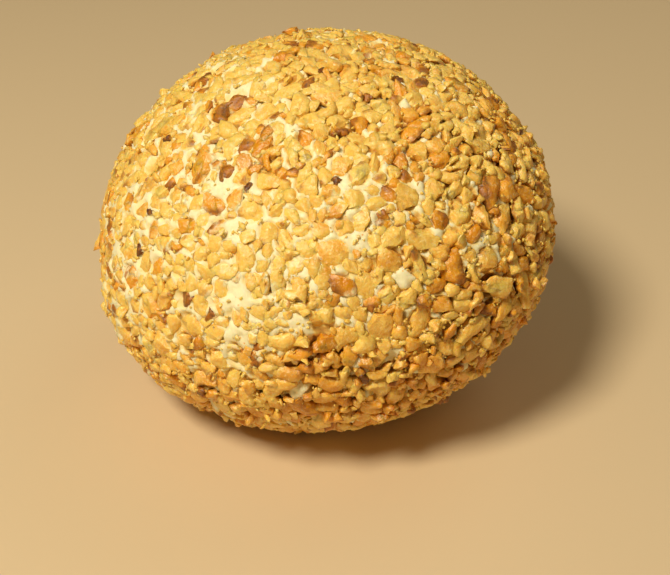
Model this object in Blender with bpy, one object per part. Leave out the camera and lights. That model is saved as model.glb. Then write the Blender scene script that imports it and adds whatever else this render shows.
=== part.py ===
"""A hand-rolled ball of cheese in a coat of chopped nuts: one solid that rests on a small flat foot.

Run with: blender --background --python part.py
Units are metres, +Z is up, and the ball stands on Z = 0 with its box centred on the Z axis.
"""

import math

import bmesh
import bpy
from mathutils import Vector, noise

# Driving dimensions: the ball as pressed by hand, before its foot is flattened.
HALF_WIDTH = 0.0563
HALF_DEPTH = 0.0553
HALF_HEIGHT = 0.0478
FOOT_DROP = 0.0432        # from the middle of the ball down to what it stands on
FOOT_SOFTNESS = 0.0040    # height over which the side rolls into the foot
FOOT_CUT = 0.0005         # how far the weight of the ball has pressed the foot flat
LEAN = 0.20               # sideways shift to the right for each unit of height

# Swells and hollows that the hands left: azimuth and elevation in degrees, share of the radius.
SWELLS = (
    ("back left shoulder", 160.0, 45.0, 0.105),
    ("front right belly", -30.0, -15.0, 0.050),
    ("back right shoulder", 20.0, 38.0, -0.050),
)
SWELL_SPREAD = math.radians(36.0)

# The coat: rounded lumps a nut apart, over a slower unevenness of the cheese beneath.
NUT_SPACING = 0.0088
NUT_RELIEF = 0.0013
NUT_REACH = 0.55          # share of the spacing at which a lump has fallen to the mean surface
PAT_SPACING = 0.030
PAT_RELIEF = 0.0010
CALM_HEIGHT = 0.009       # the coat's relief fades out over this height towards the foot

CELLS = 24                # grid cells along each side of the six patches of the sphere
NUT_COLOUR = (0.78, 0.52, 0.22, 1.0)
NUT_ROUGHNESS = 0.6


def clear_scene():
    """Removes every object that a new file starts with."""
    for obj in list(bpy.data.objects):
        bpy.data.objects.remove(obj, do_unlink=True)


def direction(azimuth, elevation):
    """The unit vector at an azimuth and an elevation in degrees."""
    turn = math.radians(azimuth)
    rise = math.radians(elevation)
    level = math.cos(rise)
    return Vector((level * math.cos(turn), level * math.sin(turn), math.sin(rise)))


def sphere_grid():
    """A cube cut into an even grid and blown up into a unit sphere."""
    mesh = bmesh.new()
    bmesh.ops.create_cube(mesh, size=2.0)
    bmesh.ops.subdivide_edges(mesh, edges=mesh.edges[:], cuts=CELLS - 1, use_grid_fill=True)
    for vertex in mesh.verts:
        warped = [math.tan(side * math.pi / 4.0) for side in vertex.co]
        vertex.co = Vector(warped).normalized()
    return mesh


def radius_share(unit):
    """How much the swells and hollows scale the radius in one direction."""
    share = 1.0
    for _, azimuth, elevation, amount in SWELLS:
        away = unit.angle(direction(azimuth, elevation)) / SWELL_SPREAD
        share += amount * math.exp(-away * away)
    return share


def soft_floor(height, floor, softness):
    """The greater of two heights, with the corner between them rounded over the softness."""
    mix = 0.5 + 0.5 * (height - floor) / softness
    mix = min(max(mix, 0.0), 1.0)
    return floor + (height - floor) * mix + softness * mix * (1.0 - mix)


def pressed_form(unit):
    """The smooth body: a swollen ellipsoid that leans and has settled onto its foot."""
    scaled = Vector((unit.x / HALF_WIDTH, unit.y / HALF_DEPTH, unit.z / HALF_HEIGHT))
    point = unit * (radius_share(unit) / scaled.length)
    point.x += LEAN * point.z
    point.z = soft_floor(point.z, -FOOT_DROP, FOOT_SOFTNESS)
    return point


def coat_relief(point):
    """How far the nut coat stands out from the smooth body at one place."""
    nearest = noise.voronoi(point / NUT_SPACING)[0][0]
    lump = 1.0 - (nearest / NUT_REACH) ** 2
    relief = NUT_RELIEF * max(lump, -1.0)
    relief += PAT_RELIEF * noise.noise(point / PAT_SPACING)
    rise = (point.z + FOOT_DROP) / CALM_HEIGHT
    return relief * min(max(rise, 0.0), 1.0)


def shape_ball(mesh):
    """Moves the sphere's vertices to the pressed form, then lifts the coat along its normals."""
    for vertex in mesh.verts:
        vertex.co = pressed_form(vertex.co)
    mesh.normal_update()
    lifted = [vertex.co + vertex.normal * coat_relief(vertex.co) for vertex in mesh.verts]
    for vertex, place in zip(mesh.verts, lifted):
        vertex.co = place


def cut_foot(mesh):
    """Cuts the underside to one flat face."""
    level = Vector((0.0, 0.0, FOOT_CUT - FOOT_DROP))
    everything = mesh.verts[:] + mesh.edges[:] + mesh.faces[:]
    bmesh.ops.bisect_plane(
        mesh, geom=everything, plane_co=level, plane_no=(0.0, 0.0, 1.0), clear_inner=True
    )
    rim = [edge for edge in mesh.edges if edge.is_boundary]
    bmesh.ops.holes_fill(mesh, edges=rim)


def stand_at_origin(mesh):
    """Puts the foot on Z = 0 and the middle of the box on the Z axis."""
    xs = [vertex.co.x for vertex in mesh.verts]
    ys = [vertex.co.y for vertex in mesh.verts]
    lowest = min(vertex.co.z for vertex in mesh.verts)
    middle = Vector(((min(xs) + max(xs)) / 2.0, (min(ys) + max(ys)) / 2.0, lowest))
    bmesh.ops.translate(mesh, verts=mesh.verts[:], vec=-middle)


def nut_material():
    """The golden colour of chopped nuts."""
    material = bpy.data.materials.new("chopped_nuts")
    material.use_nodes = True
    shader = material.node_tree.nodes["Principled BSDF"]
    shader.inputs["Base Color"].default_value = NUT_COLOUR
    shader.inputs["Roughness"].default_value = NUT_ROUGHNESS
    shader.inputs["Metallic"].default_value = 0.0
    return material


def add_ball(collection):
    """Builds the ball as one object in the collection."""
    grid = sphere_grid()
    shape_ball(grid)
    cut_foot(grid)
    stand_at_origin(grid)
    bmesh.ops.recalc_face_normals(grid, faces=grid.faces[:])
    data = bpy.data.meshes.new("cheese_ball")
    grid.to_mesh(data)
    grid.free()
    data.shade_smooth()
    data.set_sharp_from_angle(angle=math.radians(50.0))
    data.materials.append(nut_material())
    collection.objects.link(bpy.data.objects.new("cheese_ball", data))


def main():
    clear_scene()
    collection = bpy.data.collections.new("Cheese ball")
    bpy.context.scene.collection.children.link(collection)
    add_ball(collection)


main()
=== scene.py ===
import functools
import math
import random
import types

import bmesh
import bpy
import numpy as np
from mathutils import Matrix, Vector
from mathutils.bvhtree import BVHTree


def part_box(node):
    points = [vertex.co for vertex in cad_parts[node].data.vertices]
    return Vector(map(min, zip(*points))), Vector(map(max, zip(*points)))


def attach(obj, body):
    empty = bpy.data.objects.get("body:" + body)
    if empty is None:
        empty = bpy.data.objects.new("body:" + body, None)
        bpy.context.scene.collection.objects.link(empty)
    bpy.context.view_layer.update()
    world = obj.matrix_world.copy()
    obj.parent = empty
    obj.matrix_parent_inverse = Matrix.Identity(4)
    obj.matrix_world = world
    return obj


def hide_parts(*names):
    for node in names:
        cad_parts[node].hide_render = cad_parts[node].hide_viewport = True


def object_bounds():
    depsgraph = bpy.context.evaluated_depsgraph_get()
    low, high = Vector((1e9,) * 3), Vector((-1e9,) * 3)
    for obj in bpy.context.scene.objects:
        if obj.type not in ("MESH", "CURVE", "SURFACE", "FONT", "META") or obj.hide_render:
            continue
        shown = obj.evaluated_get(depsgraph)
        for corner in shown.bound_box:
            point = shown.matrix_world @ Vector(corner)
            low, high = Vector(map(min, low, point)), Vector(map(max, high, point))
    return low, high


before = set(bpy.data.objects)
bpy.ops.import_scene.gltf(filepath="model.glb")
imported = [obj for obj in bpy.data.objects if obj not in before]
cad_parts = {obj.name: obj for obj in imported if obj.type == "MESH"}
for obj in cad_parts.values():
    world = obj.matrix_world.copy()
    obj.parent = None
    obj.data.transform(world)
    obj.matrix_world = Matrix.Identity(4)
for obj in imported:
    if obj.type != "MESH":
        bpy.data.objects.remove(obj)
CAD_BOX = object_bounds()

bl_info = {
    "name": "Nut coated cheese ball",
    "version": (1, 0, 0),
    "blender": (4, 5, 0),
    "location": "View3D > Sidebar > Cheese ball",
    "description": "Models a hand-rolled ball of soft cheese in a coat of chopped walnuts",
    "category": "Add Mesh",
}

MM = 0.001
BALL = "cheese_ball"
BODY = "root"
SEED = 11
MAP_NAME = "OFBake"
# What each point of a nut knows: its colour, how low it lies, how near the skin, how smeared.
POINT_VALUES = ("tone", "rim", "skin", "film")

# Places on the ball are azimuth and elevation in degrees, seen from its middle: the front is at
# -90, the right side at 0 and the top at elevation 90. Sizes that follow them are millimetres.

# Where the cheese comes up between the nuts and smears over them, with how much.
CREAMY = ((-128.0, 30.0, 1.0), (-110.0, 8.0, 1.0), (-150.0, 5.0, 0.8), (-88.0, 22.0, 0.75),
          (-150.0, 55.0, 0.6), (60.0, 20.0, 0.7), (130.0, -10.0, 0.8), (110.0, 55.0, 0.5))
CREAMY_SPREAD = 21.0
CREAMY_RANGE = (0.1, 0.75)   # creaminess over which the cheese rises from gap to cream depth

# Where the coat is roughest, with chips that lie loose and show dark gaps.
ROUGH = ((-60.0, -12.0, 1.0), (-85.0, -18.0, 0.8), (-35.0, 5.0, 0.9), (-15.0, 30.0, 0.6),
         (-115.0, -25.0, 0.5), (20.0, -25.0, 0.8), (90.0, -15.0, 0.6), (170.0, -30.0, 0.7))
ROUGH_SPREAD = 24.0

# The few patches and pieces that catch the eye, to about five degrees. All the others fall at
# random between them.

# Bare patches of cheese: place and radius.
BARE = ((-145, 45, 2.3), (-105, 55, 2.0), (-115, 25, 2.7), (-110, 10, 3.0), (-95, 5, 2.4),
        (-110, 0, 3.0), (-95, -15, 2.3), (-70, 15, 2.3), (-125, 35, 2.5), (-60, 35, 1.7),
        (-155, 5, 2.4), (-80, 25, 2.2), (-100, -35, 2.0), (-145, 20, 1.8))

# Single nuts: place and length, by what they are.
STANDOUTS = {
    "pale": ((-105, 65, 7.0), (-90, 55, 6.0), (-95, 40, 7.5), (-80, 35, 6.5), (-135, 50, 6.0),
             (-100, 25, 6.0), (-115, 15, 6.0), (-70, 10, 6.0), (-80, 0, 6.5), (-70, 25, 7.0)),
    "amber": ((-85, 15, 7.0), (-90, 0, 7.0), (-70, 35, 5.0), (-115, 50, 6.5), (-50, 20, 5.5),
              (-120, -5, 5.0)),
    "skinned": ((-125, 5, 6.5), (-5, 60, 5.0), (-130, 40, 4.0), (-105, -5, 4.0), (-60, 0, 4.0),
                (-40, -15, 4.5), (-80, 55, 4.5)),
    "dark": ((-145, 20, 3.0), (-145, 10, 3.0), (-85, 40, 2.7), (-30, 65, 2.8), (-80, -10, 3.0)),
}

# Chips that jut out of the coat: place and length.
JUTTING = ((-40, -15, 6.5), (-45, -20, 4.0), (-30, 0, 4.0), (-75, -25, 4.0), (-110, -30, 4.0),
           (-15, 20, 3.5), (40, 5, 5.0), (75, -20, 5.5), (120, -10, 4.5), (175, -10, 5.0))

# Families of nut: share of the coat, and how much of each piece its papery skin covers.
FAMILIES = {
    "pale": {"share": 0.655, "skin": 0.02},
    "golden": {"share": 0.21, "skin": 0.07},
    "amber": {"share": 0.07, "skin": 0.20},
    "skinned": {"share": 0.05, "skin": 0.50},
    "dark": {"share": 0.015, "skin": 1.0},
}


def hue(red, green, blue):
    """A colour given as it looks on a screen, 0 to 255, as the linear light that a shader takes."""
    levels = []
    for level in (red / 255.0, green / 255.0, blue / 255.0):
        levels.append(level / 12.92 if level <= 0.04045 else ((level + 0.055) / 1.055) ** 2.4)
    return tuple(levels)


# ---- settings


def number_setting(name, description, default, lowest=0.0, highest=100.0, **kind):
    """A setting for a plain number, a length in metres or a share."""
    return bpy.props.FloatProperty(
        name=name, description=description, default=default, min=lowest, max=highest, **kind
    )


def length_setting(name, description, default, lowest, highest):
    """A setting for a length, written in millimetres."""
    return number_setting(name, description, default * MM, lowest * MM, highest * MM, unit="LENGTH")


def count_setting(name, description, default, highest):
    """A setting for how many of something there are."""
    return bpy.props.IntProperty(
        name=name, description=description, default=default, min=0, max=highest
    )


def colour_setting(name, description, *levels):
    """A setting for a colour, written as it looks on a screen."""
    return bpy.props.FloatVectorProperty(
        name=name, description=description, subtype="COLOR", default=hue(*levels)
    )


class CheeseBallSizes(bpy.types.PropertyGroup):
    """How coarse the coat is and how deep it sits in the cheese."""

    nut_size: length_setting("Nut size", "Usual length across a chopped nut", 3.75, 2.0, 8.0)
    nut_variety: number_setting("Variety", "How unlike in size the nuts are", 0.37, 0.0, 0.6)
    cover: number_setting(
        "Cover", "Share of the ball that the larger nuts cover", 0.95, 0.3, 1.2, subtype="FACTOR"
    )
    proud: length_setting("Nuts stand out", "How far a nut stands out from the mean form", 0.55, 0.0, 2.0)
    gap_depth: length_setting("Gap depth", "How deep the cheese lies in rough places", 1.35, 0.0, 3.0)
    cream_depth: length_setting("Cream depth", "How deep the cheese lies in creamy places", 0.22, 0.0, 2.0)
    crumbs: count_setting("Crumbs", "Fine crumbs of nut on the cheese and in the gaps", 2800, 6000)
    loose_chips: count_setting("Loose chips", "Chips that lie tilted on top of the coat", 210, 1000)


class CheeseBallColours(bpy.types.PropertyGroup):
    """The colours of cheese, nut flesh, nut skin and table."""

    cheese: colour_setting("Cheese", "Whipped soft cheese", 255, 243, 196)
    # Partly a real nut-oil stain, partly painted shade: this colour darkens the cheese in the crevices by
    # the nuts and the smears low on the nuts.
    oily_cheese_and_shade: colour_setting("Oily cheese", "Cheese stained by nut oil", 248, 206, 98)
    pale: colour_setting("Pale flesh", "Freshly cut walnut", 253, 208, 100)
    golden: colour_setting("Golden flesh", "Walnut that has dried golden", 238, 168, 38)
    amber: colour_setting("Amber flesh", "Oily, see-through walnut", 220, 146, 4)
    # Besides the skin itself, this colour paints shade on the nuts' lower sides and in the deepest
    # crevices of the cheese.
    skin: colour_setting("Nut skin", "Papery brown skin", 162, 90, 4)
    dark_skin: colour_setting("Dark skin", "Skin toasted dark", 88, 38, 4)
    table: colour_setting("Table", "Plain pale table top", 222, 199, 160)


class CheeseBallLight(bpy.types.PropertyGroup):
    """Lamps, sky and lens."""

    lamp_power: number_setting("Lamp", "Power of the main lamp in watts", 7.6)
    fill_power: number_setting("Fill lamp", "Power of the lamp that fills the far side, in watts", 0.85)
    sky: number_setting("Sky", "Brightness of the soft light from all round", 0.14)
    lens: number_setting("Lens", "Focal length in millimetres", 69.85, 10.0)


# ---- form of the ball


def evenly_spread(count):
    """Unit vectors spread evenly over a sphere, along a golden spiral."""
    step = np.arange(count) + 0.5
    rise = 1.0 - 2.0 * step / count
    turn = step * math.pi * (1.0 + math.sqrt(5.0))
    level = np.sqrt(1.0 - rise * rise)
    return np.stack([level * np.cos(turn), level * np.sin(turn), rise], axis=1)


def towards(azimuth, elevation):
    """The unit vectors at azimuths and elevations in degrees."""
    turn = np.radians(azimuth)
    rise = np.radians(elevation)
    return np.stack([np.cos(rise) * np.cos(turn), np.cos(rise) * np.sin(turn), np.sin(rise)], axis=-1)


def unit(vectors):
    """The same vectors at length 1."""
    return vectors / np.linalg.norm(vectors, axis=-1, keepdims=True)


def ease(value, low, high):
    """0 below low, 1 above high, and smooth between."""
    share = np.clip((value - low) / (high - low), 0.0, 1.0)
    return share * share * (3.0 - 2.0 * share)


def ripple(points, wavelength, seed, waves=8):
    """A smooth random field, mostly between -1 and 1, made of crossed waves."""
    pick = np.random.default_rng(seed)
    total = np.zeros(len(points))
    for _ in range(waves):
        way = unit(pick.normal(size=3))
        pitch = 2.0 * math.pi / (wavelength * pick.uniform(0.7, 1.5))
        total += np.sin(points @ way * pitch + pick.uniform(0.0, 2.0 * math.pi))
    return total * (1.6 / math.sqrt(2.0 * waves))


class Skin:
    """The ball's mean outer form: rays from its middle to the CAD solid, averaged over a few nuts."""

    ROWS = 61
    COLUMNS = 120
    RAYS = 4500
    BLUR = math.radians(4.2)

    def __init__(self):
        low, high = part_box(BALL)
        self.middle = np.array((low + high) / 2.0)
        solid = bmesh.new()
        solid.from_mesh(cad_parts[BALL].data)
        tree = BVHTree.FromBMesh(solid)
        solid.free()
        rays = evenly_spread(self.RAYS)
        start = Vector(self.middle)
        reach = np.array([tree.ray_cast(start, Vector(ray))[3] for ray in rays])
        drop = np.linspace(90.0, -90.0, self.ROWS)
        turn = np.arange(self.COLUMNS) * 360.0 / self.COLUMNS
        ways = towards(*np.meshgrid(turn, drop)).reshape(-1, 3)
        weight = np.exp(((ways @ rays.T - 1.0) / self.BLUR**2).astype(np.float32))
        self.table = (weight @ reach / weight.sum(axis=1)).reshape(self.ROWS, self.COLUMNS)

    def radius(self, ways):
        """Distance from the middle to the form, in each direction."""
        row = np.arccos(np.clip(ways[:, 2], -1.0, 1.0)) / math.pi * (self.ROWS - 1)
        column = np.arctan2(ways[:, 1], ways[:, 0]) / (2.0 * math.pi) % 1.0 * self.COLUMNS
        above = np.minimum(row.astype(int), self.ROWS - 2)
        left = column.astype(int) % self.COLUMNS
        right = (left + 1) % self.COLUMNS
        down = row - above
        across = column - np.floor(column)
        upper = self.table[above, left] * (1.0 - across) + self.table[above, right] * across
        lower = self.table[above + 1, left] * (1.0 - across) + self.table[above + 1, right] * across
        return upper * (1.0 - down) + lower * down

    def place(self, ways):
        """Points of the form in the given directions."""
        return self.middle + ways * self.radius(ways)[:, None]

    def ways(self, points):
        """Directions in which points lie."""
        return unit(points - self.middle)

    def settle(self, points):
        """Points moved back onto the form, along the ray to the middle."""
        return self.place(self.ways(points))

    def normals(self, ways):
        """The form's outward normals."""
        side = unit(np.cross(ways, np.where(np.abs(ways[:, 2:]) < 0.9, (0.0, 0.0, 1.0), (1.0, 0.0, 0.0))))
        over = np.cross(ways, side)
        step = math.radians(2.5)
        along = self.place(unit(ways + side * step)) - self.place(unit(ways - side * step))
        up = self.place(unit(ways + over * step)) - self.place(unit(ways - over * step))
        return unit(np.cross(along, up))

    def area(self):
        """Area of the whole form."""
        ways = evenly_spread(self.RAYS)
        slant = np.einsum("ij,ij->i", ways, self.normals(ways))
        return float((self.radius(ways) ** 2 / slant).mean() * 4.0 * math.pi)


@functools.lru_cache(maxsize=1)
def ball_skin():
    """The ball's form, worked out once."""
    return Skin()


def nearness(ways, places, spread):
    """How strongly any of the places (azimuth, elevation, strength) acts in each direction, 0 to 1."""
    total = np.zeros(len(ways))
    for azimuth, elevation, strength in places:
        away = np.degrees(np.arccos(np.clip(ways @ towards(azimuth, elevation), -1.0, 1.0)))
        total = np.maximum(total, strength * np.exp(-((away / spread) ** 2)))
    return total


def creaminess(ways):
    """How much cheese shows in each direction, 0 to 1."""
    wander = 0.25 * ripple(ways, 0.4, SEED + 1)
    roughness = nearness(ways, ROUGH, ROUGH_SPREAD)
    return np.clip(nearness(ways, CREAMY, CREAMY_SPREAD) - 0.45 * roughness + 0.38 + wander, 0.0, 1.0)


# ---- laying the coat


class Coat:
    """Where every nut lies: centre of its footprint, size, turn, tilt and family."""

    SMALL_BLANKS = 340
    BLANK_MARGIN = 2.4             # a bare patch's footprint for each unit of its radius
    FOOTPRINT = 0.84               # a nut's footprint for each unit of its length
    REACHES = (1.0 * MM, 3.4 * MM)
    MOST_NUTS = 6000
    NEIGHBOURS = 14
    ROUNDS = 72
    FRESH_EVERY = 8                # rounds after which the neighbours are looked up again
    GAP_SPOTS = 26000              # places where a small piece might fill a gap
    FILLERS = (0.65 * MM, 1.5 * MM)
    CHIP_SPOTS = 6000
    CHIPS = (0.8 * MM, 1.9 * MM)

    def __init__(self, sizes):
        self.skin = ball_skin()
        self.pick = np.random.default_rng(SEED)
        self.settle_nuts(sizes)
        self.fill_gaps()
        self.add_loose_chips(sizes)
        self.add_jutting_chips()
        self.turn_nuts()
        self.sort_families()

    def settle_nuts(self, sizes):
        """Packs the larger nuts round the bare patches and the standouts by pushing them apart."""
        named = [(a, e, size, family) for family, rows in STANDOUTS.items() for a, e, size in rows]
        held = self.leave_blanks() + named
        wanted = sizes.cover * self.skin.area()
        usual = math.log(sizes.nut_size / 2.0)
        draw = self.pick.lognormal(usual, sizes.nut_variety, self.MOST_NUTS)
        draw = np.clip(draw, *self.REACHES)
        held_reach = np.array([0.5 * row[2] * MM * self.FOOTPRINT for row in held])
        taken = float((math.pi * held_reach**2).sum())
        count = int(np.searchsorted(taken + np.cumsum(math.pi * draw**2), wanted))
        ways = np.concatenate([
            towards([row[0] for row in held], [row[1] for row in held]),
            evenly_spread(count)[self.pick.permutation(count)],
        ])
        self.reach = np.concatenate([held_reach, draw[:count]])
        self.family = np.array([row[3] for row in held] + [""] * count, dtype="U8")
        fixed = np.arange(len(ways)) < len(held)
        points = self.skin.place(ways)
        for turn in range(self.ROUNDS):
            if turn % self.FRESH_EVERY == 0:
                near = self.nearest(points)
            points = self.push_apart(points, near, fixed)
        shown = self.family != "bare"
        self.blanks = points[~shown]
        self.blank_reach = self.reach[~shown]
        self.points = points[shown]
        self.reach = self.reach[shown]
        self.family = self.family[shown]
        self.kind = np.where(fixed[shown], "standout", "coat")

    def leave_blanks(self):
        """Places that stay free of larger nuts: the bare patches, and small ones all over the ball."""
        blanks = [(a, e, self.BLANK_MARGIN * r, "bare") for a, e, r in BARE]
        for way in evenly_spread(self.SMALL_BLANKS)[self.pick.permutation(self.SMALL_BLANKS)]:
            azimuth = math.degrees(math.atan2(way[1], way[0])) + self.pick.normal(scale=6.0)
            elevation = math.degrees(math.asin(way[2]))
            blanks.append((azimuth, elevation, 2.0 * self.pick.uniform(0.5, 1.7), "bare"))
        return blanks

    def nearest(self, points):
        """Each point's nearest neighbours."""
        flat = points.astype(np.float32)
        gap = -2.0 * flat @ flat.T + (flat**2).sum(axis=1)[None, :]
        np.fill_diagonal(gap, np.inf)
        return np.argpartition(gap, self.NEIGHBOURS, axis=1)[:, : self.NEIGHBOURS]

    def push_apart(self, points, near, fixed):
        """One round of pushing overlapping nuts apart, the smaller of two giving way more."""
        away = points[:, None, :] - points[near]
        gap = np.linalg.norm(away, axis=2) + 1e-9
        want = self.reach[:, None] + self.reach[near]
        give = np.clip(want - gap, 0.0, None) * self.reach[near] / (want * gap)
        move = (away * give[:, :, None]).sum(axis=1) * 0.9
        move[fixed] = 0.0
        return self.skin.settle(points + move)

    def clearance(self, spots):
        """How far each spot is from the nearest nut's edge."""
        gap = np.full(len(spots), np.inf)
        points = self.points.astype(np.float32)
        for start in range(0, len(spots), 4096):
            part = slice(start, start + 4096)
            apart = np.linalg.norm(spots[part, None, :].astype(np.float32) - points[None], axis=2)
            gap[part] = (apart - self.reach[None, :]).min(axis=1)
        return gap

    def fill_gaps(self):
        """Drops small pieces into the gaps, leaving many of them open where the coat is creamy."""
        least, most = self.FILLERS
        spots = self.skin.place(evenly_spread(self.GAP_SPOTS))
        creamy = creaminess(self.skin.ways(spots))
        room = self.clearance(spots)
        for point, reach in zip(self.blanks, self.blank_reach):
            room = np.minimum(room, np.linalg.norm(spots - point, axis=1) - reach)
        added = []
        while True:
            best = int(room.argmax())
            reach = min(room[best] * 1.08, most)
            if reach < least:
                break
            if self.pick.random() > 0.1 + 0.5 * creamy[best]:
                added.append((best, reach))
            room = np.minimum(room, np.linalg.norm(spots - spots[best], axis=1) - reach)
        self.append(spots[[spot for spot, _ in added]], [reach for _, reach in added], "filler")

    def add_loose_chips(self, sizes):
        """Lays chips on top of the coat, mostly where it is rough."""
        ways = evenly_spread(self.CHIP_SPOTS)
        chance = nearness(ways, ROUGH, ROUGH_SPREAD) + 0.08
        chance /= chance.sum()
        chosen = self.pick.choice(len(ways), sizes.loose_chips, replace=False, p=chance)
        reach = self.pick.uniform(*self.CHIPS, sizes.loose_chips)
        self.append(self.skin.place(ways[chosen]), reach, "loose")

    def add_jutting_chips(self):
        """Adds the chips that stick out of the coat with an edge in the cheese."""
        azimuth, elevation, length = np.array(JUTTING).T
        self.append(self.skin.place(towards(azimuth, elevation)), length * 0.4 * MM, "jutting")

    def append(self, points, reach, kind):
        """Adds nuts whose family is still to be drawn."""
        self.points = np.concatenate([self.points, points])
        self.reach = np.concatenate([self.reach, reach])
        self.family = np.concatenate([self.family, np.full(len(points), "", dtype="U8")])
        self.kind = np.concatenate([self.kind, np.full(len(points), kind)])

    def turn_nuts(self):
        """Turns, tilts and proportions each nut, its long side turned away from its nearest neighbour."""
        count = len(self.points)
        pick = self.pick
        self.ways = self.skin.ways(self.points)
        self.creamy = creaminess(self.ways)
        self.rough = nearness(self.ways, ROUGH, ROUGH_SPREAD)
        self.up = self.skin.normals(self.ways)
        near = self.nearest(self.points)
        gap = np.linalg.norm(self.points[:, None, :] - self.points[near], axis=2) - self.reach[near]
        closest = near[np.arange(count), gap.argmin(axis=1)]
        across = np.cross(self.up, self.points[closest] - self.points)
        sway = pick.normal(scale=0.35, size=(count, 3)) * np.linalg.norm(across, axis=1)[:, None]
        across = unit(across + sway)
        loose = self.kind == "loose"
        wobble = np.radians(7.0 + 13.0 * self.rough + 22.0 * loose)[:, None]
        self.up = unit(self.up + np.tan(wobble) * pick.normal(size=(count, 3)) * 0.75)
        jutting = self.kind == "jutting"
        self.up[jutting] = unit(np.cross(self.up, across) + 0.5 * self.up)[jutting]
        self.along = unit(across - self.up * np.einsum("ij,ij->i", across, self.up)[:, None])
        stretch = np.sqrt(np.clip(pick.lognormal(0.3, 0.25, count), 1.0, 2.4))
        slack = pick.uniform(1.98, 2.3, count)
        self.length = self.reach * slack * stretch
        self.width = self.reach * slack / stretch
        self.thick = self.width * pick.uniform(0.55, 0.85, count)
        self.thick[jutting] *= 0.6

    def sort_families(self):
        """Gives each nut that isn't a standout its family, and every nut its tone."""
        pick = self.pick
        names = list(FAMILIES)
        chance = np.array([FAMILIES[name]["share"] for name in names])
        drawn = pick.choice(len(names), len(self.points), p=chance / chance.sum())
        free = self.family == ""
        self.family[free] = np.array(names, dtype="U8")[drawn[free]]
        too_big = free & (self.family == "dark") & (self.reach > 1.3 * MM)
        self.family[too_big] = "skinned"
        # Partly the colour of uncovered nuts, partly painted shade: the tone turns darker and more amber
        # where the coat is rough, mostly low on the ball, and paler where it is creamy.
        drift_and_shade = 0.15 * ripple(self.ways, 0.35, SEED + 3) + 0.4 * self.rough - 0.1 * self.creamy
        self.tone = np.clip(pick.normal(0.36, 0.18, len(self.points)) + drift_and_shade, 0.0, 1.2)
        for name, tone in (("pale", 0.1), ("amber", 1.1), ("skinned", 0.8)):
            self.tone[(self.kind == "standout") & (self.family == name)] = tone


@functools.lru_cache(maxsize=1)
def ball_coat():
    """The coat of nuts, laid out once."""
    return Coat(bpy.context.scene.cheese_sizes)


# ---- modelling


def add_alone(add, **settings):
    """Adds a primitive with nothing else selected, and returns its object."""
    bpy.ops.object.select_all(action="DESELECT")
    add(**settings)
    return bpy.context.object


def apply_modifier(piece, kind, **settings):
    """Adds one modifier to the active object and applies it."""
    modifier = piece.modifiers.new(kind.title(), kind)
    for name, value in settings.items():
        setattr(modifier, name, value)
    bpy.ops.object.modifier_apply(modifier=modifier.name)


def read_points(mesh):
    """A mesh's vertices as rows of three."""
    points = np.empty(len(mesh.vertices) * 3)
    mesh.vertices.foreach_get("co", points)
    return points.reshape(-1, 3)


def write_points(mesh, points):
    """Moves a mesh's vertices."""
    mesh.vertices.foreach_set("co", points.astype(np.float32).ravel())
    mesh.update()


def add_column(mesh, name, numbers):
    """Gives each vertex of a mesh a number that its material can read."""
    column = mesh.attributes.new(name, "FLOAT", "POINT")
    column.data.foreach_set("value", numbers.astype(np.float32))


def slice_faces(pick, cuts, nearest, farthest, flatness):
    """Slices flat faces off the piece being edited, mostly round its sides."""
    for _ in range(cuts):
        way = Vector((pick.gauss(0, 1), pick.gauss(0, 1), pick.gauss(0, flatness))).normalized()
        bpy.ops.mesh.select_all(action="SELECT")
        bpy.ops.mesh.bisect(
            plane_co=way * pick.uniform(nearest, farthest), plane_no=way, use_fill=True, clear_outer=True
        )


def soften_corners(piece, bevels, angle):
    """Rounds the corners that the knife left, where they turn by more than the angle in degrees."""
    if bevels:
        apply_modifier(
            piece, "BEVEL", width=0.05, segments=bevels, limit_method="ANGLE",
            angle_limit=math.radians(angle), profile=0.6,
        )


def finish_piece(piece, roughen, seed):
    """Roughens a modelled piece a little and turns it into triangles."""
    apply_modifier(piece, "TRIANGULATE", quad_method="BEAUTY")
    points = read_points(piece.data)
    for axis in range(3):
        points[:, axis] += roughen * ripple(points, 0.9, seed * 3 + axis)
        points[:, axis] += 0.45 * roughen * ripple(points, 0.4, seed * 5 + axis)
    write_points(piece.data, points)


def knifed_chip(seed, detail, bevels):
    """A piece with flat cut faces and softened corners, as a knife leaves it."""
    pick = random.Random(seed)
    piece = add_alone(bpy.ops.mesh.primitive_ico_sphere_add, subdivisions=detail, radius=0.6)
    bpy.ops.object.mode_set(mode="EDIT")
    bpy.ops.transform.resize(value=(pick.uniform(1.0, 1.5), 1.0, pick.uniform(0.6, 0.85)))
    slice_faces(pick, pick.randint(4, 6), 0.24, 0.44, 0.4)
    slice_faces(pick, 1, 0.26, 0.36, 4.0)
    bpy.ops.mesh.select_all(action="SELECT")
    bpy.ops.mesh.remove_doubles(threshold=0.05)
    bpy.ops.object.mode_set(mode="OBJECT")
    soften_corners(piece, bevels, 30.0)
    finish_piece(piece, 0.035, seed)
    return piece


def broken_chip(seed, detail, bevels):
    """Two knifed lumps that still hold together, the second shrunk and moved to one end."""
    pick = random.Random(seed)
    larger = knifed_chip(seed + 1000, max(detail - 1, 1), bevels)
    knifed_chip(seed + 2000, max(detail - 1, 1), min(bevels, 1))
    share = (pick.uniform(0.55, 0.8), pick.uniform(0.6, 0.9), pick.uniform(0.7, 0.95))
    shift = (pick.uniform(0.3, 0.45), pick.uniform(-0.2, 0.2), pick.uniform(-0.1, 0.1))
    bpy.ops.transform.resize(value=share)
    bpy.ops.transform.rotate(value=pick.uniform(0.0, 6.0), orient_axis="Z", center_override=(0, 0, 0))
    bpy.ops.transform.translate(value=shift)
    bpy.ops.object.transform_apply(location=True, rotation=True, scale=True)
    larger.select_set(True)
    bpy.context.view_layer.objects.active = larger
    bpy.ops.object.join()
    return larger


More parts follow.
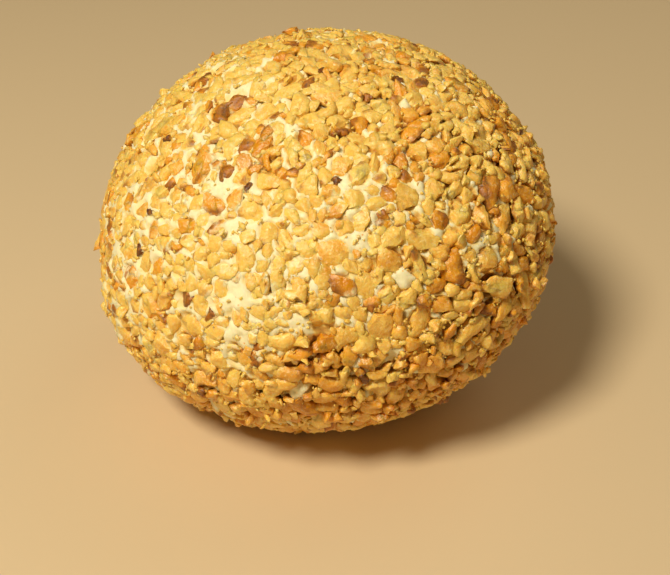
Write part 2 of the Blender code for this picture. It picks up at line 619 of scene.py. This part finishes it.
def rounded_nub(seed, detail, bevels):
    """A rounded lobe of nut with one cut face."""
    pick = random.Random(seed)
    piece = add_alone(bpy.ops.mesh.primitive_ico_sphere_add, subdivisions=detail, radius=0.5)
    points = read_points(piece.data)
    swell = 1.0 + 0.2 * ripple(points, 0.9, seed) + 0.07 * ripple(points, 0.4, seed + 1)
    points *= swell[:, None]
    write_points(piece.data, points)
    bpy.ops.object.mode_set(mode="EDIT")
    bpy.ops.transform.resize(value=(pick.uniform(1.0, 1.45), 1.0, pick.uniform(0.7, 0.95)))
    slice_faces(pick, pick.randint(2, 3), 0.22, 0.4, 0.6)
    bpy.ops.mesh.select_all(action="SELECT")
    bpy.ops.mesh.remove_doubles(threshold=0.04)
    bpy.ops.object.mode_set(mode="OBJECT")
    soften_corners(piece, bevels, 34.0)
    finish_piece(piece, 0.03, seed)
    return piece


def curled_lobe(seed, detail, bevels):
    """A fold of nut that curls round like a short crescent."""
    pick = random.Random(seed)
    piece = add_alone(bpy.ops.mesh.primitive_ico_sphere_add, subdivisions=detail, radius=0.5)
    bpy.ops.object.mode_set(mode="EDIT")
    bpy.ops.transform.resize(value=(2.3, 0.85, 0.8))
    slice_faces(pick, 2, 0.5, 0.9, 0.3)
    bpy.ops.object.mode_set(mode="OBJECT")
    soften_corners(piece, bevels, 34.0)
    curl = math.radians(pick.uniform(80.0, 150.0))
    apply_modifier(piece, "SIMPLE_DEFORM", deform_method="BEND", deform_axis="Z", angle=curl)
    finish_piece(piece, 0.03, seed)
    return piece


class Mould:
    """One modelled piece as points in a unit box, its triangles and where they lie on a map."""

    TOP_SHARE = 0.70
    REACH = math.radians(135.0)

    def __init__(self, piece):
        mesh = piece.data
        points = read_points(mesh)
        triangles = np.empty(len(mesh.polygons) * 3, dtype=np.int32)
        mesh.polygons.foreach_get("vertices", triangles)
        bpy.data.objects.remove(piece, do_unlink=True)
        low, high = points.min(axis=0), points.max(axis=0)
        self.points = (points - (low + high) / 2.0) / (high - low)
        self.triangles = triangles.reshape(-1, 3)
        self.places = self.map_corners()

    def map_corners(self):
        """Corners in a unit square: the upper side as a large disc, the underside as a small one."""
        corners = self.points[self.triangles]
        facing = np.cross(corners[:, 1] - corners[:, 0], corners[:, 2] - corners[:, 0])
        top = facing[:, 2] > -0.3 * np.linalg.norm(facing, axis=1)
        sign = np.where(top, 1.0, -1.0)[:, None]
        ways = unit(corners - corners.mean(axis=(0, 1)))
        away = np.arccos(np.clip(ways[:, :, 2] * sign, -1.0, 1.0))
        radius = np.minimum(away / self.REACH, 1.0) * 0.5
        turn = np.arctan2(ways[:, :, 1], ways[:, :, 0])
        disc = 0.5 + np.stack([radius * np.cos(turn), radius * np.sin(turn)], axis=2)
        small = 1.0 - self.TOP_SHARE
        return np.where(top[:, None, None], disc * self.TOP_SHARE, self.TOP_SHARE + disc * small)


def make_moulds(shapes, count, detail, bevels, seed):
    """Models a set of unlike pieces, going round the shapes in turn."""
    makers = {"chip": knifed_chip, "broken": broken_chip, "nub": rounded_nub, "curl": curled_lobe}
    moulds = []
    for number in range(count):
        maker = makers[shapes[number % len(shapes)]]
        moulds.append(Mould(maker(seed + number, detail, bevels)))
    return moulds


def mesh_piece(name, made, finish):
    """One smooth mesh object from the arrays of laid copies, with its map and its finish."""
    points, triangles = made["points"], made["triangles"]
    mesh = bpy.data.meshes.new(name)
    mesh.vertices.add(len(points))
    mesh.vertices.foreach_set("co", points.astype(np.float32).ravel())
    mesh.loops.add(triangles.size)
    mesh.loops.foreach_set("vertex_index", triangles.astype(np.int32).ravel())
    mesh.polygons.add(len(triangles))
    mesh.polygons.foreach_set("loop_start", np.arange(0, triangles.size, 3, dtype=np.int32))
    mesh.update(calc_edges=True)
    for key in POINT_VALUES:
        add_column(mesh, key, made[key])
    layer = mesh.uv_layers.new(name=MAP_NAME, do_init=False)
    layer.uv.foreach_set("vector", made["places"].astype(np.float32).ravel())
    mesh.shade_smooth()
    mesh.materials.append(finish)
    piece = bpy.data.objects.new(name, mesh)
    bpy.context.scene.collection.objects.link(piece)
    return piece


def declare(piece):
    """Ties a finished piece to the ball that it stands for."""
    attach(piece, BODY)
    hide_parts(BALL)


LEAST_HEIGHT = 0.2 * MM      # no nut is modelled closer to the table than this
CELL_MARGIN = 0.03           # free edge of each nut's square on the map, as a share of the square
ROUGHENING = 0.17 * MM
ROUGHENING_WAVE = 2.1 * MM


def lay_copies(coat, chosen, moulds, seed):
    """Copies moulds onto the chosen nuts: points, triangles, point values and map places."""
    pick = np.random.default_rng(seed)
    use = pick.integers(0, len(moulds), len(chosen))
    cells = math.ceil(math.sqrt(len(chosen)))
    parts = {key: [] for key in ("points", "triangles", "places", *POINT_VALUES)}
    start = 0
    for number, mould in enumerate(moulds):
        mine = np.flatnonzero(use == number)
        nuts = chosen[mine]
        if not len(nuts):
            continue
        axes = np.stack([
            coat.along[nuts] * coat.length[nuts, None],
            np.cross(coat.up[nuts], coat.along[nuts]) * coat.width[nuts, None],
            coat.up[nuts] * coat.thick[nuts, None],
        ], axis=1)
        points = coat.centre[nuts, None, :] + np.einsum("vj,njk->nvk", mould.points, axes)
        lift = np.clip(LEAST_HEIGHT - points[:, :, 2].min(axis=1), 0.0, None)
        points[:, :, 2] += lift[:, None]
        size = len(mould.points)
        offsets = start + np.arange(len(nuts)) * size
        start += len(nuts) * size
        lean = unit(pick.normal(size=(len(nuts), 3)) * (1.0, 1.0, 0.55))
        cell = np.stack([mine % cells, mine // cells], axis=1)[:, None, None, :]
        parts["points"].append(points.reshape(-1, 3))
        parts["triangles"].append((mould.triangles[None] + offsets[:, None, None]).reshape(-1, 3))
        inner = CELL_MARGIN + (1.0 - 2.0 * CELL_MARGIN) * mould.places[None]
        parts["places"].append(((cell + inner) / cells).reshape(-1, 2))
        parts["tone"].append(np.repeat(coat.tone[nuts], size))
        parts["film"].append(np.repeat(coat.creamy[nuts], size))
        parts["rim"].append(np.tile(0.5 - mould.points[:, 2], len(nuts)))
        parts["skin"].append(np.einsum("vj,nj->nv", mould.points * 2.0, lean).ravel())
    return {key: np.concatenate(rows) for key, rows in parts.items()}


def lay_nuts(name, chosen, moulds, finish, seed):
    """One piece of many nuts of one family and size."""
    coat = ball_coat()
    made = lay_copies(coat, chosen, moulds, seed)
    points = made["points"]
    for axis in range(3):
        points[:, axis] += ROUGHENING * ripple(points, ROUGHENING_WAVE, seed + axis)
    points[:, 2] = np.maximum(points[:, 2], 0.02 * MM)
    declare(mesh_piece(name, made, finish))


# ---- finishes


def arithmetic(operation, reflected=False):
    """A Python operator on values that adds one Math node."""

    def combine(value, other):
        first, second = (other, value) if reflected else (value, other)
        node = value.finish.add("ShaderNodeMath", {"operation": operation}, {0: first, 1: second})
        return Value(value.finish, node.outputs[0])

    return combine


class Value:
    """A number in a material's nodes, so that shader maths reads as ordinary expressions."""

    __add__ = arithmetic("ADD")
    __radd__ = arithmetic("ADD", reflected=True)
    __sub__ = arithmetic("SUBTRACT")
    __rsub__ = arithmetic("SUBTRACT", reflected=True)
    __mul__ = arithmetic("MULTIPLY")
    __rmul__ = arithmetic("MULTIPLY", reflected=True)

    def __init__(self, finish, socket):
        self.finish = finish
        self.socket = socket

    def step(self, low, high):
        """0 below low, 1 above high, and smooth between."""
        node = self.finish.add(
            "ShaderNodeMapRange", {"interpolation_type": "SMOOTHSTEP"},
            {"Value": self, "From Min": low, "From Max": high},
        )
        return Value(self.finish, node.outputs["Result"])


class Finish:
    """A material, and the ways in which this file adds nodes to it."""

    def __init__(self, name, **constants):
        self.material = bpy.data.materials.new(name)
        self.material.use_nodes = True
        self.tree = self.material.node_tree
        self.shader = self.tree.nodes["Principled BSDF"]
        for socket, value in constants.items():
            self.shader.inputs[socket.replace("_", " ")].default_value = value
        self.place = self.add("ShaderNodeTexCoord").outputs["Object"]

    def add(self, kind, settings=None, sockets=None):
        """Adds a node, sets it, then gives its sockets values or links."""
        node = self.tree.nodes.new(kind)
        for name, value in (settings or {}).items():
            setattr(node, name, value)
        for key, value in (sockets or {}).items():
            self.feed(node.inputs[key], value)
        return node

    def feed(self, socket, value):
        """Links a value to a socket, or sets the socket to it."""
        if isinstance(value, Value):
            value = value.socket
        if isinstance(value, bpy.types.NodeSocket):
            self.tree.links.new(value, socket)
        elif socket.type == "RGBA":
            socket.default_value = (*value, 1.0)
        else:
            socket.default_value = value

    def attribute(self, name):
        """A number that the mesh holds at each point."""
        node = self.add("ShaderNodeAttribute", {"attribute_name": name})
        return Value(self, node.outputs["Fac"])

    def noise(self, size, detail=3.0, roughness=0.55):
        """Cloudy noise whose blotches are about size metres across."""
        node = self.add(
            "ShaderNodeTexNoise", None,
            {"Vector": self.place, "Scale": 0.5 / size, "Detail": detail, "Roughness": roughness},
        )
        return Value(self, node.outputs["Fac"])

    def cells(self, size):
        """Distance to the nearest of points about size metres apart."""
        node = self.add("ShaderNodeTexVoronoi", None, {"Vector": self.place, "Scale": 1.0 / size})
        return Value(self, node.outputs["Distance"])

    def mix(self, share, first, second):
        """A colour part of the way from the first to the second."""
        node = self.add("ShaderNodeMix", {"data_type": "RGBA"}, {0: share, 6: first, 7: second})
        return node.outputs[2]

    def bump(self, height, depth, below=None):
        """A Bump node's normal for a height of 0 to 1 that stands depth metres tall."""
        sockets = {"Height": height, "Distance": depth, "Strength": 1.0}
        if below is not None:
            sockets["Normal"] = below
        return self.add("ShaderNodeBump", None, sockets).outputs["Normal"]

    def wire(self, **sockets):
        """Links values to the shader's sockets and returns the material."""
        for name, value in sockets.items():
            self.feed(self.shader.inputs[name.replace("_", " ")], value)
        return self.material


def cheese_finish(colours):
    """Whipped soft cheese: matt, soft-edged, stained where nut oil has crept in and darkened by painted
    shade in the crevices by the nuts, dusted with nut.
    """
    finish = Finish(
        "whipped_cheese", Subsurface_Weight=0.35, Subsurface_Scale=1.6 * MM,
        Subsurface_Radius=(1.0, 0.8, 0.55), Specular_IOR_Level=0.4,
    )
    whipped = finish.noise(1.6 * MM, detail=4.0)
    fine = finish.noise(0.45 * MM, detail=3.0)
    # Painted shade: the cheese turns yellow and then nut-skin brown in the crevices beside and under the
    # nuts; the yellow is partly real staining by nut oil.
    stain_and_shade = finish.attribute("crevice_shade") + (whipped - 0.5) * 0.7
    cream = finish.mix(stain_and_shade.step(0.15, 0.7) * 0.9, colours.cheese, colours.oily_cheese_and_shade)
    cream = finish.mix(stain_and_shade.step(0.5, 1.0) * 0.85, cream, colours.skin)
    dust = 1.0 - finish.cells(1.5 * MM).step(0.10, 0.20)
    cream = finish.mix(dust * finish.noise(4.0 * MM).step(0.48, 0.6) * 0.7, cream, colours.golden)
    soft = finish.bump(whipped, 0.35 * MM)
    return finish.wire(
        Base_Color=cream,
        Roughness=0.42 + 0.3 * fine,
        Normal=finish.bump(fine, 0.1 * MM, soft),
    )


def nut_finish(name, colours, skin_cover, flesh_from, flesh_to, skin_and_shade_colour):
    """Chopped walnut: mottled flesh, darker towards its sides with painted shade and the skin seen
    edge-on, papery skin on part, cheese smeared on.
    """
    finish = Finish(
        name, Subsurface_Weight=0.5, Subsurface_Scale=1.3 * MM,
        Subsurface_Radius=(1.0, 0.7, 0.35), Specular_IOR_Level=0.65,
    )
    blotch = finish.noise(2.4 * MM, detail=3.0)
    grain = finish.noise(0.35 * MM, detail=4.0, roughness=0.65)
    veins = finish.noise(0.9 * MM, detail=3.0)
    rim = finish.attribute("rim")
    tone = finish.attribute("tone") + (blotch - 0.5) * 2.2
    flesh = finish.mix(tone.step(0.15, 1.15), flesh_from, flesh_to)
    # Partly see-through oil-soaked flesh at random, partly painted shade: the amber grows towards the
    # nut's lower sides.
    oily_and_shade = (veins - 0.5) * 1.6 + tone * 0.45 + rim * 0.3
    flesh = finish.mix(oily_and_shade.step(0.5, 1.05) * 0.7, flesh, colours.amber)
    flesh = finish.mix(grain.step(0.5, 0.75) * 0.35, flesh, colours.amber)
    flesh = finish.mix((1.0 - grain).step(0.5, 0.7) * 0.4, flesh, colours.cheese)
    # Partly the skin seen edge-on, partly painted shade: a brown line round the nut's lower sides.
    seam_and_shade = rim + (veins - 0.5) * 1.2
    flesh = finish.mix(seam_and_shade.step(0.48, 0.8) * 0.6, flesh, skin_and_shade_colour)
    threshold = 1.0 - 2.0 * skin_cover
    edge = finish.attribute("skin") + (veins - 0.5) * 1.2
    covered = edge.step(threshold - 0.25, threshold + 0.3)
    papery = finish.mix(veins.step(0.38, 0.62), colours.dark_skin, skin_and_shade_colour)
    papery = finish.mix(grain.step(0.4, 0.7) * 0.5, papery, colours.amber)
    nut = finish.mix(covered * 0.88, flesh, papery)
    smear = finish.attribute("film") * 0.55 + (finish.noise(1.6 * MM, detail=4.0) - 0.46) * 1.6
    smear = smear + (rim - 0.4) * 0.8
    # Painted shade: cheese smeared low on a nut takes the darker yellow of the oil-stained cheese.
    cream = finish.mix(rim.step(0.35, 0.65), colours.cheese, colours.oily_cheese_and_shade)
    nut = finish.mix(smear.step(0.45, 0.75) * 0.8, nut, cream)
    lumps = finish.bump(veins, 0.6 * MM)
    return finish.wire(
        Base_Color=nut,
        Roughness=0.15 + 0.42 * grain + 0.1 * covered,
        Normal=finish.bump(grain, 0.13 * MM, lumps),
    )


def table_finish(colour):
    """An even matt colour, which turns into the backdrop's far from the ball where it is looked at."""
    finish = Finish("plain_table", Roughness=0.7)
    away = finish.add("ShaderNodeVectorMath", {"operation": "LENGTH"}, {0: finish.place})
    path = finish.add("ShaderNodeLightPath")
    far = Value(finish, away.outputs["Value"]).step(0.3, 1.1)
    glow = finish.add("ShaderNodeEmission", None, {"Color": colour})
    share = far * Value(finish, path.outputs["Is Camera Ray"])
    blend = finish.add("ShaderNodeMixShader", None, {"Fac": share})
    finish.tree.links.new(finish.shader.outputs["BSDF"], blend.inputs[1])
    finish.tree.links.new(glow.outputs["Emission"], blend.inputs[2])
    finish.tree.links.new(blend.outputs["Shader"], finish.tree.nodes["Material Output"].inputs["Surface"])
    return finish.wire(Base_Color=colour)


# ---- operators


class CHEESEBALL_OT_core(bpy.types.Operator):
    """Press the ball of cheese, squeezed up between the nuts and dented under them"""

    bl_idname = "cheeseball.core"
    bl_label = "Cheese"

    FIRST_CUTS = 55
    DENT = 1.3 * MM

    def execute(self, context):
        sizes = context.scene.cheese_sizes
        skin = ball_skin()
        coat = ball_coat()
        piece = add_alone(bpy.ops.mesh.primitive_cube_add, size=2.0)
        bpy.ops.object.mode_set(mode="EDIT")
        bpy.ops.mesh.select_all(action="SELECT")
        bpy.ops.mesh.subdivide(number_cuts=self.FIRST_CUTS)
        bpy.ops.mesh.select_all(action="SELECT")
        bpy.ops.mesh.subdivide(number_cuts=1)
        bpy.ops.object.mode_set(mode="OBJECT")
        piece.name = piece.data.name = "cheese_core"
        ways = unit(np.tan(read_points(piece.data) * math.pi / 4.0))
        points = skin.place(ways)
        normals = skin.normals(ways)
        gap = coat.clearance(points)
        bare = np.full(len(points), np.inf)
        for blank, reach in zip(coat.blanks, coat.blank_reach):
            bare = np.minimum(bare, np.linalg.norm(points - blank, axis=1) - reach)
        creamy = np.maximum(creaminess(ways), 1.0 - ease(bare, -0.6 * MM, 1.2 * MM))
        higher = sizes.gap_depth - sizes.cream_depth
        level = -sizes.gap_depth + higher * ease(creamy, *CREAMY_RANGE)
        level += 0.25 * MM * ripple(points, 3.2 * MM, SEED + 20)
        level += 0.22 * MM * ripple(points, 1.4 * MM, SEED + 21)
        level -= 0.35 * MM * ease(gap, 0.2 * MM, 1.6 * MM) * (1.0 - creamy)
        inside = -gap - 0.25 * creamy * MM
        level -= self.DENT * ease(inside, 0.0, 0.9 * MM)
        points = points + normals * level[:, None]
        points[:, 2] = np.maximum(points[:, 2], 0.0)
        write_points(piece.data, points)
        # Painted shade: how strongly the cheese is darkened, highest in the crevices beside and under the
        # nuts and lower where the coat is creamy.
        crevice_shade = (1.0 - 0.65 * creamy) * (1.0 - ease(gap, -0.35 * MM, 0.2 * MM))
        add_column(piece.data, "crevice_shade", crevice_shade)
        piece.data.shade_smooth()
        piece.data.materials.clear()
        piece.data.materials.append(cheese_finish(context.scene.cheese_colours))
        declare(piece)
        return {"FINISHED"}


class CHEESEBALL_OT_nuts(bpy.types.Operator):
    """Chop the walnuts and press them into the cheese, a piece for each family and size"""

    bl_idname = "cheeseball.nuts"
    bl_label = "Chopped walnuts"

    LARGE = 2.55 * MM
    SMALL = 1.6 * MM
    LARGE_SHAPES = ("broken", "nub", "chip", "broken", "curl")
    MEDIUM_SHAPES = ("chip", "broken", "nub", "chip", "broken", "curl")
    SMALL_SHAPES = ("chip", "nub")

    def execute(self, context):
        sizes = context.scene.cheese_sizes
        colours = context.scene.cheese_colours
        coat = ball_coat()
        self.set_heights(coat, sizes)
        moulds = {
            "large": make_moulds(self.LARGE_SHAPES, 20, 3, 2, SEED * 10),
            "medium": make_moulds(self.MEDIUM_SHAPES, 30, 2, 1, SEED * 20),
            "small": make_moulds(self.SMALL_SHAPES, 18, 2, 1, SEED * 30),
        }
        finishes = {
            "pale": (colours.pale, colours.golden, colours.skin),
            "golden": (colours.pale, colours.amber, colours.skin),
            "amber": (colours.golden, colours.amber, colours.skin),
            "skinned": (colours.golden, colours.amber, colours.skin),
            "dark": (colours.dark_skin, colours.dark_skin, colours.dark_skin),
        }
        above_foot = coat.points[:, 2] > 1.2 * MM
        for number, (family, parts) in enumerate(finishes.items()):
            finish = nut_finish("walnut_" + family, colours, FAMILIES[family]["skin"], *parts)
            mine = above_foot & (coat.family == family)
            bands = {
                "large": mine & (coat.reach >= self.LARGE),
                "medium": mine & (coat.reach < self.LARGE) & (coat.reach >= self.SMALL),
                "small": mine & (coat.reach < self.SMALL),
            }
            for rank, (band, within) in enumerate(bands.items()):
                chosen = np.flatnonzero(within)
                if len(chosen):
                    seed = SEED * 100 + number * 10 + rank
                    lay_nuts(f"walnut_{family}_{band}", chosen, moulds[band], finish, seed)
        return {"FINISHED"}

    def set_heights(self, coat, sizes):
        """Sets how high each nut's centre lies: tops near the mean form, loose chips above it."""
        pick = np.random.default_rng(SEED + 40)
        proud = sizes.proud * pick.uniform(0.0, 1.7, len(coat.points)) * (0.45 + 0.9 * coat.rough)
        proud += np.where(coat.kind == "loose", pick.uniform(0.4, 1.2, len(coat.points)) * MM, 0.0)
        proud += np.where(coat.kind == "standout", 0.3 * MM, 0.0)
        proud += np.where(coat.kind == "jutting", coat.thick, 0.0)
        proud -= np.where(coat.kind == "filler", 0.25 * MM, 0.0)
        outward = coat.skin.normals(coat.ways)
        coat.centre = coat.points + outward * (proud - coat.thick / 2.0)[:, None]


class CHEESEBALL_OT_crumbs(bpy.types.Operator):
    """Scatter fine crumbs of nut over the cheese"""

    bl_idname = "cheeseball.crumbs"
    bl_label = "Nut crumbs"

    USUAL_WIDTH = 0.8 * MM
    SKIN_COVER = 0.04

    def execute(self, context):
        colours = context.scene.cheese_colours
        count = context.scene.cheese_sizes.crumbs
        coat = ball_coat()
        crumbs = self.crumb_coat(coat, count)
        moulds = make_moulds(("chip", "nub"), 12, 1, 0, SEED * 50)
        family = (colours.pale, colours.golden, colours.skin)
        finish = nut_finish("walnut_crumb", colours, self.SKIN_COVER, *family)
        made = lay_copies(crumbs, np.arange(count), moulds, SEED + 51)
        declare(mesh_piece("walnut_crumbs", made, finish))
        return {"FINISHED"}

    def crumb_coat(self, coat, count):
        """The crumbs' places, just proud of the cheese and thickest beside the nuts."""
        pick = np.random.default_rng(SEED + 50)
        spots = coat.skin.place(unit(pick.normal(size=(count * 5, 3))))
        spots = spots[spots[:, 2] > 2.0 * MM]
        gap = coat.clearance(spots)
        roughness = nearness(coat.skin.ways(spots), ROUGH, ROUGH_SPREAD)
        wanted = np.where(gap > 0.05 * MM, 0.3, ease(gap, -0.8 * MM, 0.0) * (0.25 + 0.75 * roughness))
        kept = np.argsort(pick.random(len(gap)) / (wanted + 1e-6))[:count]
        spots = spots[kept]
        gap = gap[kept]
        crumbs = types.SimpleNamespace()
        ways = coat.skin.ways(spots)
        crumbs.creamy = creaminess(ways)
        crumbs.tone = 0.7 * pick.random(count)
        crumbs.up = unit(coat.skin.normals(ways) + 0.5 * pick.normal(size=(count, 3)))
        crumbs.along = unit(np.cross(crumbs.up, pick.normal(size=(count, 3))))
        crumbs.width = pick.lognormal(math.log(self.USUAL_WIDTH), 0.32, count)
        crumbs.length = crumbs.width * pick.uniform(1.0, 1.7, count)
        crumbs.thick = crumbs.width * 0.7
        sizes = bpy.context.scene.cheese_sizes
        shallower = sizes.cream_depth - sizes.gap_depth
        depth = sizes.gap_depth + shallower * ease(crumbs.creamy, *CREAMY_RANGE)
        depth = np.where(gap > 0.0, depth - 0.1 * MM, -0.05 * MM)
        crumbs.centre = spots - coat.skin.normals(ways) * depth[:, None]
        return crumbs


class CHEESEBALL_OT_stage(bpy.types.Operator):
    """Lay the table, hang the lamps and set up the camera"""

    bl_idname = "cheeseball.stage"
    bl_label = "Table, lamps and camera"

    FRONT = -90.0
    CAMERA_PITCH = 34.0
    CAMERA_DISTANCE = 331.4 * MM
    AIM_OFFSET = (3.1 * MM, -10.1 * MM, -14.9 * MM)
    LAMP_PLACE = (-127.0, 54.0)
    LAMP_SIZE = 0.24
    FILL_PLACE = (42.0, 46.0)
    FILL_SIZE = 0.6
    LAMP_DISTANCE = 0.9
    LAMP_COLOUR = (1.0, 0.91, 0.75)
    TABLE_SIZE = 8.0

    def execute(self, context):
        scene = context.scene
        light = scene.cheese_light
        low, high = CAD_BOX
        middle = (low + high) / 2.0
        self.lay_table(scene, low.z)
        self.hang_lamp("main_lamp", middle, self.LAMP_PLACE, self.LAMP_SIZE, light.lamp_power)
        self.hang_lamp("fill_lamp", middle, self.FILL_PLACE, self.FILL_SIZE, light.fill_power)
        self.light_sky(scene, light)
        self.place_camera(scene, middle, light)
        scene.view_settings.view_transform = "Standard"
        return {"FINISHED"}

    def lay_table(self, scene, height):
        """Lays a wide flat table top under the ball."""
        table = add_alone(bpy.ops.mesh.primitive_plane_add, size=self.TABLE_SIZE, location=(0, 0, height))
        table.name = "table_top"
        table.data.materials.append(table_finish(scene.cheese_colours.table))

    def hang_lamp(self, name, middle, place, size, power):
        """Hangs a round soft lamp in one direction from the ball, facing it."""
        lamp = add_alone(bpy.ops.object.light_add, type="AREA")
        lamp.name = name
        lamp.data.shape = "DISK"
        lamp.data.size = size
        lamp.data.energy = power
        lamp.data.color = self.LAMP_COLOUR
        way = Vector(towards(*place))
        lamp.location = middle + way * self.LAMP_DISTANCE
        lamp.rotation_euler = way.to_track_quat("Z", "Y").to_euler()

    def light_sky(self, scene, light):
        """Even light from all round, with a pale backdrop where the camera sees past the table."""
        world = bpy.data.worlds.new("soft_sky")
        scene.world = world
        world.use_nodes = True
        tree = world.node_tree
        sky = tree.nodes["Background"]
        sky.inputs["Color"].default_value = (1.0, 0.8, 0.48, 1.0)
        sky.inputs["Strength"].default_value = light.sky
        backdrop = tree.nodes.new("ShaderNodeBackground")
        backdrop.inputs["Color"].default_value = (*scene.cheese_colours.table, 1.0)
        path = tree.nodes.new("ShaderNodeLightPath")
        choice = tree.nodes.new("ShaderNodeMixShader")
        tree.links.new(path.outputs["Is Camera Ray"], choice.inputs["Fac"])
        tree.links.new(sky.outputs["Background"], choice.inputs[1])
        tree.links.new(backdrop.outputs["Background"], choice.inputs[2])
        tree.links.new(choice.outputs["Shader"], tree.nodes["World Output"].inputs["Surface"])

    def place_camera(self, scene, middle, light):
        """Puts the camera in front of the ball, looking down on it."""
        camera = add_alone(bpy.ops.object.camera_add)
        camera.name = "main_camera"
        camera.data.lens = light.lens
        camera.data.sensor_width = 36.0
        camera.data.clip_start = 0.01
        back = Vector(towards(self.FRONT, self.CAMERA_PITCH))
        aim = middle + Vector(self.AIM_OFFSET)
        camera.location = aim + back * self.CAMERA_DISTANCE
        camera.rotation_euler = back.to_track_quat("Z", "Y").to_euler()
        scene.camera = camera


class CHEESEBALL_PT_panel(bpy.types.Panel):
    """Lists the steps and the settings of the cheese ball."""

    bl_label = "Cheese ball"
    bl_idname = "CHEESEBALL_PT_panel"
    bl_space_type = "VIEW_3D"
    bl_region_type = "UI"
    bl_category = "Cheese ball"

    def draw(self, context):
        layout = self.layout
        for step in STEPS:
            layout.operator(step.bl_idname)
        for group in SETTINGS:
            settings = getattr(context.scene, group)
            for name in settings.__annotations__:
                layout.prop(settings, name)


STEPS = (CHEESEBALL_OT_core, CHEESEBALL_OT_nuts, CHEESEBALL_OT_crumbs, CHEESEBALL_OT_stage)
SETTINGS = {
    "cheese_sizes": CheeseBallSizes,
    "cheese_colours": CheeseBallColours,
    "cheese_light": CheeseBallLight,
}


def register():
    """Makes the settings, the steps and the panel known to Blender."""
    for kind in (*SETTINGS.values(), *STEPS, CHEESEBALL_PT_panel):
        bpy.utils.register_class(kind)
    for name, kind in SETTINGS.items():
        setattr(bpy.types.Scene, name, bpy.props.PointerProperty(type=kind))


def unregister():
    """Takes them away again."""
    for name in SETTINGS:
        delattr(bpy.types.Scene, name)
    for kind in (CHEESEBALL_PT_panel, *reversed(STEPS), *reversed(SETTINGS.values())):
        bpy.utils.unregister_class(kind)


def main():
    """Makes every piece in order."""
    register()
    bpy.ops.cheeseball.core()
    bpy.ops.cheeseball.nuts()
    bpy.ops.cheeseball.crumbs()
    bpy.ops.cheeseball.stage()


if __name__ == "__main__":
    main()
